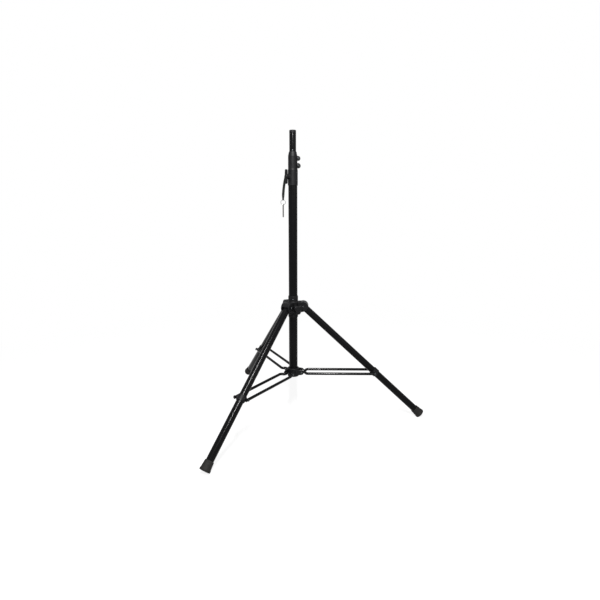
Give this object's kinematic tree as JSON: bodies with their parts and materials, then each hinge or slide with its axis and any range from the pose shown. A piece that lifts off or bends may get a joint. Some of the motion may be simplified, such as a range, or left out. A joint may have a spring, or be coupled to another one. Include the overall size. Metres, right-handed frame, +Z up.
{
  "type": "speaker stand",
  "caption": "Black folding tripod stand for a loudspeaker: telescoping round pole with clamp handle, hinged legs on a sliding collar, double-rod braces and rubber feet.",
  "frame": {"origin": "middle of the stand's footprint on the floor, with the legs open and the pole down", "axes": "+Z up along the pole, +X towards leg 1, with legs 2 and 3 at 120 and 240 degrees"},
  "size_m": [1.1254, 1.2914, 1.5574],
  "materials": {
    "black_paint": "semi-gloss black powder coat",
    "black_nylon": "moulded black glass-filled nylon, satin",
    "pale_nylon": "natural nylon",
    "grey_rubber": "matt dark grey rubber",
    "zinc_plate": "bright zinc plate",
    "bright_steel": "nickel-plated steel wire and pin",
    "black_webbing": "woven black webbing"
  },
  "bodies": {
    "stand": {"outer_tube": "black_paint", "tube_end_plug": "black_nylon", "clamp_sleeve": "black_nylon", "pinch_bolt_upper": "zinc_plate", "pinch_bolt_lower": "zinc_plate", "pinch_nut_upper": "zinc_plate", "pinch_nut_lower": "zinc_plate", "guide_bush": "pale_nylon", "brake_shoe": "pale_nylon", "strap_rivet": "zinc_plate", "hub": "black_nylon", "hub_screw": "zinc_plate", "hub_pivot_bolt_1": "zinc_plate", "hub_pivot_bolt_2": "zinc_plate", "hub_pivot_bolt_3": "zinc_plate"},
    "pole": {"inner_pole": "black_paint", "pole_cap": "black_nylon", "pole_foot_bush": "pale_nylon", "stop_screw": "zinc_plate"},
    "lock": {"lock_handle": "black_nylon", "lock_stud": "zinc_plate"},
    "lanyard": {"strap": "black_webbing"},
    "pin": {"pin_ring": "bright_steel", "safety_pin": "bright_steel"},
    "collar": {"leg_collar": "black_nylon", "collar_screw": "zinc_plate", "leg_pivot_bolt_1": "zinc_plate", "leg_pivot_bolt_2": "zinc_plate", "leg_pivot_bolt_3": "zinc_plate"},
    "collar_lock": {"collar_knob": "black_nylon", "collar_stud": "zinc_plate"},
    "leg_1": {"leg_tube_1": "black_paint", "leg_plug_1": "black_nylon", "foot_1": "grey_rubber", "brace_clamp_1": "black_nylon"},
    "brace_1": {"brace_rod_1a": "black_paint", "brace_rod_1b": "black_paint", "brace_screw_1a": "zinc_plate", "brace_screw_1b": "zinc_plate"},
    "leg_2": {"leg_tube_2": "black_paint", "leg_plug_2": "black_nylon", "foot_2": "grey_rubber", "brace_clamp_2": "black_nylon"},
    "brace_2": {"brace_rod_2a": "black_paint", "brace_rod_2b": "black_paint", "brace_screw_2a": "zinc_plate", "brace_screw_2b": "zinc_plate"},
    "leg_3": {"leg_tube_3": "black_paint", "leg_plug_3": "black_nylon", "foot_3": "grey_rubber", "brace_clamp_3": "black_nylon"},
    "brace_3": {"brace_rod_3a": "black_paint", "brace_rod_3b": "black_paint", "brace_screw_3a": "zinc_plate", "brace_screw_3b": "zinc_plate"}
  },
  "joints": [
    {"name": "pole_slide", "type": "slide", "parent": "stand", "child": "pole", "axis": [0, 0, 1], "range_m": [0, 0.6]},
    {"name": "lock_turn", "type": "hinge", "parent": "stand", "child": "lock", "pos_m": [-0.17747, 0, 1.3265], "axis": [-0.788, -0.6157, 0], "continuous": true},
    {"name": "lanyard_swing", "type": "hinge", "parent": "stand", "child": "lanyard", "pos_m": [-0.21547, 0.0089, 1.328], "axis": [0, 1, 0], "range_deg": [0, 75]},
    {"name": "pin_swing", "type": "hinge", "parent": "lanyard", "child": "pin", "pos_m": [-0.22947, 0.0089, 1.2095], "axis": [1, 0, 0], "range_deg": [-20, 12]},
    {"name": "collar_slide", "type": "slide", "parent": "stand", "child": "collar", "axis": [0, 0, 1], "range_m": [0, 0.579]},
    {"name": "collar_lock_turn", "type": "hinge", "parent": "collar", "child": "collar_lock", "pos_m": [-0.17747, 0, 0.632], "axis": [0.5, -0.866, 0], "continuous": true},
    {"name": "leg_1_fold", "type": "hinge", "parent": "collar", "child": "leg_1", "pos_m": [-0.12247, 0, 0.639], "axis": [0, 1, 0], "range_deg": [0, 44.64]},
    {"name": "brace_1_fold", "type": "hinge", "parent": "stand", "child": "brace_1", "pos_m": [-0.13147, 0, 0.26], "axis": [0, -1, 0], "range_deg": [0, 84.87]},
    {"name": "leg_2_fold", "type": "hinge", "parent": "collar", "child": "leg_2", "pos_m": [-0.20497, 0.04763, 0.639], "axis": [-0.866, -0.5, 0], "range_deg": [0, 44.64]},
    {"name": "brace_2_fold", "type": "hinge", "parent": "stand", "child": "brace_2", "pos_m": [-0.20047, 0.03984, 0.26], "axis": [0.866, 0.5, 0], "range_deg": [0, 84.87]},
    {"name": "leg_3_fold", "type": "hinge", "parent": "collar", "child": "leg_3", "pos_m": [-0.20497, -0.04763, 0.639], "axis": [0.866, -0.5, 0], "range_deg": [0, 44.64]},
    {"name": "brace_3_fold", "type": "hinge", "parent": "stand", "child": "brace_3", "pos_m": [-0.20047, -0.03984, 0.26], "axis": [-0.866, 0.5, 0], "range_deg": [0, 84.87]}
  ],
  "couplings": [
    {"joint": "leg_1_fold", "follows": "collar_slide", "rad_per_m": 1.3452},
    {"joint": "brace_1_fold", "follows": "collar_slide", "rad_per_m": 2.558},
    {"joint": "leg_2_fold", "follows": "collar_slide", "rad_per_m": 1.3452},
    {"joint": "brace_2_fold", "follows": "collar_slide", "rad_per_m": 2.558},
    {"joint": "leg_3_fold", "follows": "collar_slide", "rad_per_m": 1.3452},
    {"joint": "brace_3_fold", "follows": "collar_slide", "rad_per_m": 2.558}
  ]
}
